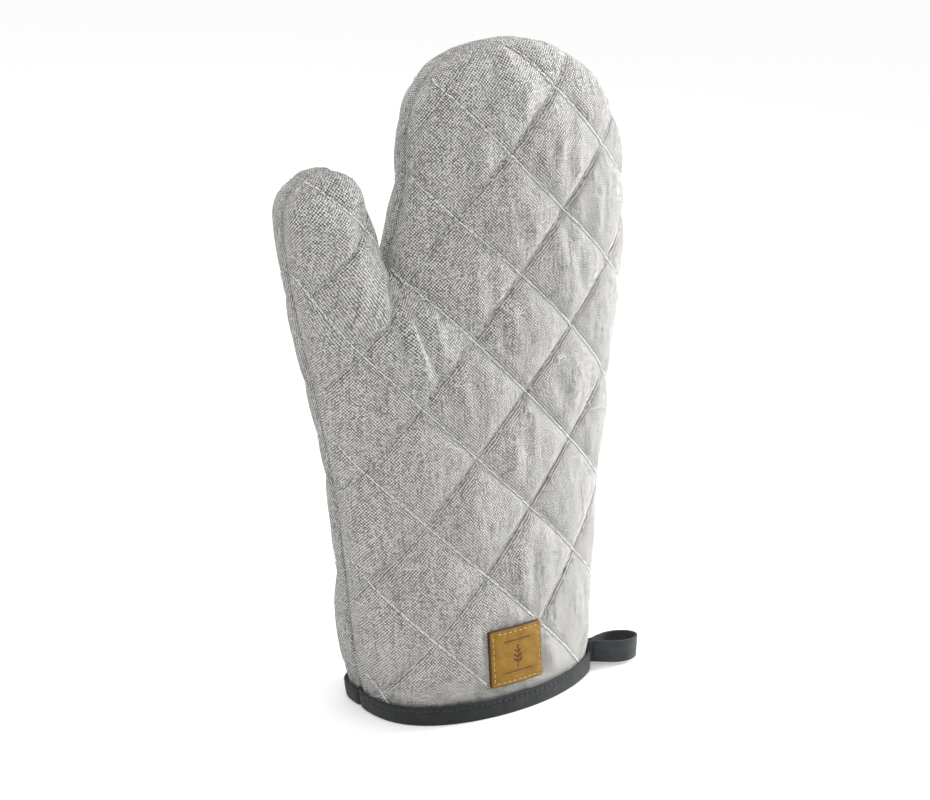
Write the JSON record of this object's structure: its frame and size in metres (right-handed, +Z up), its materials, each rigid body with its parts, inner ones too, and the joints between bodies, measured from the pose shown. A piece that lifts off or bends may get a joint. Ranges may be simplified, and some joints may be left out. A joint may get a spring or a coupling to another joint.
{
  "type": "oven mitt",
  "caption": "Quilted linen oven mitt with a bound cuff, a leather patch and a hanging loop that swings on its sewn end, standing open on its cuff.",
  "frame": {"origin": "middle of the mitt's bounding box, on the floor it stands on", "axes": "+X from the thumb towards the palm edge, -Y out of the front panel (the side with the patch), +Z up to the fingertips"},
  "size_m": [0.1924, 0.0846, 0.33],
  "materials": {
    "linen": "heathered light grey linen weave, matt",
    "wadding": "loose off-white cotton wadding",
    "lining": "plain off-white cotton, matt",
    "pale_thread": "twisted off-white sewing thread",
    "binding": "charcoal cotton twill tape, matt",
    "loop_tape": "charcoal cotton twill tape, matt",
    "dark_thread": "charcoal sewing thread",
    "leather": "tan leather, debossed leaf sprig, dark cut edges",
    "tan_thread": "light tan waxed thread"
  },
  "bodies": {
    "mitt": {"outer_front": "linen", "outer_back": "linen", "wadding_front": "wadding", "wadding_back": "wadding", "lining_front": "lining", "lining_back": "lining", "quilting_thread_front": "pale_thread", "quilting_thread_back": "pale_thread", "seam_overlock": "lining", "cuff_binding": "binding", "binding_stitching": "dark_thread", "leather_patch": "leather", "patch_stitching": "tan_thread"},
    "loop": {"hang_loop": "loop_tape", "loop_bartack": "dark_thread"}
  },
  "joints": [
    {"name": "loop_swing", "type": "hinge", "parent": "mitt", "child": "loop", "pos_m": [0.06912, -0.01465, 0.008], "axis": [0, 0, 1], "range_deg": [-25, 40]}
  ]
}
